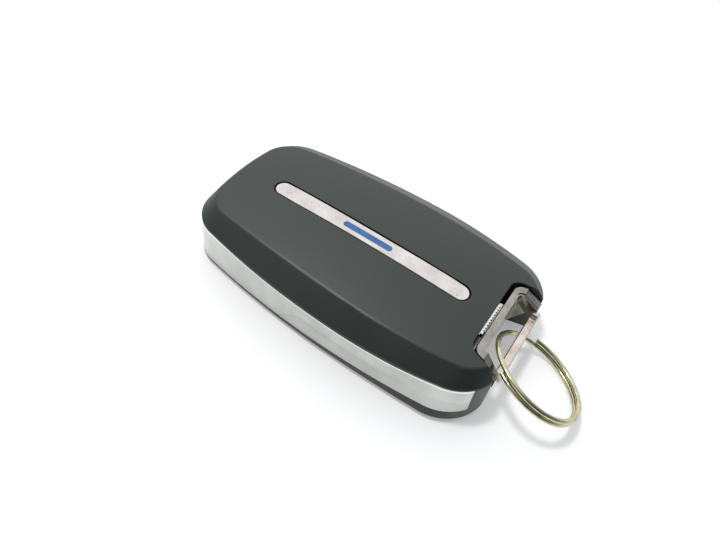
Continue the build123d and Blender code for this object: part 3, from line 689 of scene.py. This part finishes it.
def boot_lid():
    roof = [(-3.0, -1.2), (-3.0, 0.1), (-1.6, 0.4), (-0.6, 1.5), (1.2, 1.5), (1.9, 0.4)]
    lid = [(1.9, 0.4), (3.1, 1.5)]
    tail = [(1.9, 0.4), (2.9, 0.0), (2.9, -1.2), (-3.0, -1.2)]
    return band_along(roof, STROKE) + band_along(lid, STROKE) + band_along(tail, STROKE)


def horn():
    bell = [(-2.4, -0.5), (-0.6, -0.5), (0.8, -1.4), (0.8, 1.4), (-0.6, 0.5), (-2.4, 0.5)]
    near = arc_points((0.6, 0), 1.3, -38, 38, 8)
    far = arc_points((0.6, 0), 2.1, -38, 38, 8)
    return [bell] + band_along(near, THIN_STROKE) + band_along(far, THIN_STROKE)


# %% Place the signs on their buttons
signs = {
    "button_lock": padlock(),
    "button_unlock": padlock(is_open=True),
    "button_start": round_arrow(),
    "button_trunk": boot_lid(),
    "button_panic": horn(),
}
paint = Sheet("sign_pale_print", (0.75, 0.76, 0.74), 0.45)
speck = paint.noise(0.2, 3)
pale = paint.mix(paint.range(speck, 0.35, 0.7), (0.8, 0.81, 0.79), (0.6, 0.61, 0.6))
paint.feed("Base Color", pale)
paint.feed("Roughness", paint.range(speck, *NOISE_SPAN, 0.4, 0.55))
paint.bump(speck, 0.006, 0.5)
for button, outlines in signs.items():
    low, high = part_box(button)
    middle = (low + high) / 2 / MM
    sign = sign_piece("sign_" + button, outlines, (middle.x, middle.y), low.z / MM)
    sign.data.materials.append(paint.material)
    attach(sign, button)
print("signs", len(signs))

# %% [markdown]
# ## Floor and world
# The photograph shows the fob on plain white with a soft, faint shadow. A floor lit up to white would
# need so much light that the fob burns out, so the floor is a pale diffuse sheet, and an emission
# that only camera, mirror and glass rays see lifts it to white. The shadow stays, because the diffuse
# part still darkens under the fob.

# %% White floor that keeps the shadow
FLOOR_SIZE = 12.0
FLOOR_GAP = 0.00005
FLOOR_LIFT = 0.32
FLOOR_GLOW = (0.985, 0.985, 0.98)


def direct_view(sheet):
    """A mask that is 1 for rays that look straight at a surface, in a mirror or through glass."""
    seen = sheet.node("ShaderNodeLightPath", output="Is Camera Ray")
    for ray in ("Is Glossy Ray", "Is Transmission Ray"):
        seen = seen.join("MAXIMUM", seen, sheet.node("ShaderNodeLightPath", output=ray))
    return seen


def pale_floor():
    sheet = Sheet("floor_white", (0.8, 0.8, 0.8), 0.9, Specular_IOR_Level=0.1)
    fleck = sheet.noise(60, 3)
    sheet.feed("Base Color", sheet.mix(fleck, (0.79, 0.79, 0.79), (0.81, 0.81, 0.81)))
    strength = direct_view(sheet) * FLOOR_LIFT
    glow = sheet.node("ShaderNodeEmission", {}, {"Color": (*FLOOR_GLOW, 1), "Strength": strength})
    lit = Value(sheet, sheet.main.outputs[0])
    both = sheet.node("ShaderNodeAddShader", {}, {0: lit, 1: glow})
    sheet.tree.links.new(both.socket, sheet.tree.nodes["Material Output"].inputs["Surface"])
    return sheet.material


floor_mesh = bpy.data.meshes.new("floor_sheet")
half = FLOOR_SIZE / 2
corners = [(-half, -half, 0), (half, -half, 0), (half, half, 0), (-half, half, 0)]
floor_mesh.from_pydata(corners, [], [(0, 1, 2, 3)])
floor_sheet = bpy.data.objects.new("floor_sheet", floor_mesh)
bpy.context.scene.collection.objects.link(floor_sheet)
floor_sheet.location.z = cad_box[0][2] - FLOOR_GAP
floor_mesh.materials.append(pale_floor())
print("floor laid")

# %% [markdown]
# The world gives the even part of the light. Mirrors see it too, so it isn't one flat colour, or the
# chrome would look like paper: it is bright on the window's side of the room and dark on the
# camera's side. The angle to the window's direction picks the grey, and the end of the room past the
# key ring is a dim blue, which the sloping legs of the key head pick up. Near the horizon it turns
# pale, so that the floor has no hard end. Both changes run between two shares of the direction's
# length.

# %% World
WINDOW_SIDE = (-0.88, -0.26, 0.4)
WORLD_GREYS = [(0.0, 0.1), (0.3, 0.12), (0.55, 0.36), (0.8, 1.15), (1.0, 1.3)]
SKY_BLUE = 1.02
DIM_END = (0.2, 0.26, 0.34)
DIM_SHARES = (0.1, 0.6)
HORIZON = (0.93, 0.93, 0.92)
HORIZON_SHARES = (0.2, 0.06)


def studio_world():
    world = bpy.data.worlds.new("studio_world")
    bpy.context.scene.world = world
    world.use_nodes = True
    world.node_tree.nodes.clear()
    web = Web(world.node_tree)
    place = web.node("ShaderNodeTexCoord", output="Generated")
    settings = {"operation": "DOT_PRODUCT"}
    angle = web.node("ShaderNodeVectorMath", settings, {0: place, 1: WINDOW_SIDE}, "Value")
    stops = [(position, (grey, grey, grey * SKY_BLUE)) for position, grey in WORLD_GREYS]
    greys = web.node("ShaderNodeValToRGB", {"stops": stops}, {0: web.range(angle, -1.0, 1.0)})
    along = web.node("ShaderNodeSeparateXYZ", {}, {0: place}, "Y")
    above = web.node("ShaderNodeSeparateXYZ", {}, {0: place}, "Z")
    dim = web.mix(web.range(along, *DIM_SHARES), greys, DIM_END, "MULTIPLY")
    pale = web.mix(web.range(above, *HORIZON_SHARES), dim, HORIZON)
    background = web.node("ShaderNodeBackground", {}, {"Color": pale})
    output = web.tree.nodes.new("ShaderNodeOutputWorld")
    web.tree.links.new(background.socket, output.inputs["Surface"])


studio_world()
print("world set")

# %% [markdown]
# ## Lamp
# One soft square lamp hangs high up and past the far end, so the fob keeps a short shadow at its key
# end.

# %% Area lamp
LAMP_PLACE = Vector((0.04, -0.38, 1.05))
LAMP_SIDE = 0.16
LAMP_POWER = 5.0

lamp_data = bpy.data.lights.new("window_lamp", "AREA")
lamp_data.shape = "RECTANGLE"
lamp_data.size = LAMP_SIDE
lamp_data.size_y = LAMP_SIDE
lamp_data.energy = LAMP_POWER
lamp = bpy.data.objects.new("window_lamp", lamp_data)
bpy.context.scene.collection.objects.link(lamp)
lamp.location = LAMP_PLACE
lamp.rotation_euler = (-LAMP_PLACE).to_track_quat("-Z", "Y").to_euler()
print("lamp lit")

# %% [markdown]
# ## Camera
# The camera's place, turn and lens were worked out once from the fob's outline in the photograph. Its
# three directions are given as rows: to the right, down and into the picture.

# %% Camera
CAMERA_PLACE = Vector((64.513, 32.057, 91.541)) * MM
CAMERA_RIGHT = Vector((-0.567635, 0.816511, 0.105363))
CAMERA_DOWN = Vector((0.604639, 0.500316, -0.619754))
CAMERA_AHEAD = Vector((-0.558751, -0.288088, -0.777691))
LENS_MM = 27.86
SENSOR_MM = 36.0
CLIP_START = 0.001

camera_data = bpy.data.cameras.new("camera")
camera_data.lens = LENS_MM
camera_data.sensor_width = SENSOR_MM
camera_data.clip_start = CLIP_START
camera = bpy.data.objects.new("camera", camera_data)
bpy.context.scene.collection.objects.link(camera)
turn = Matrix((CAMERA_RIGHT, -CAMERA_DOWN, -CAMERA_AHEAD)).transposed()
camera.matrix_world = Matrix.Translation(CAMERA_PLACE) @ turn.to_4x4()
bpy.context.scene.camera = camera
bpy.context.scene.view_settings.view_transform = "Standard"
print("camera at", tuple(round(c, 4) for c in CAMERA_PLACE))
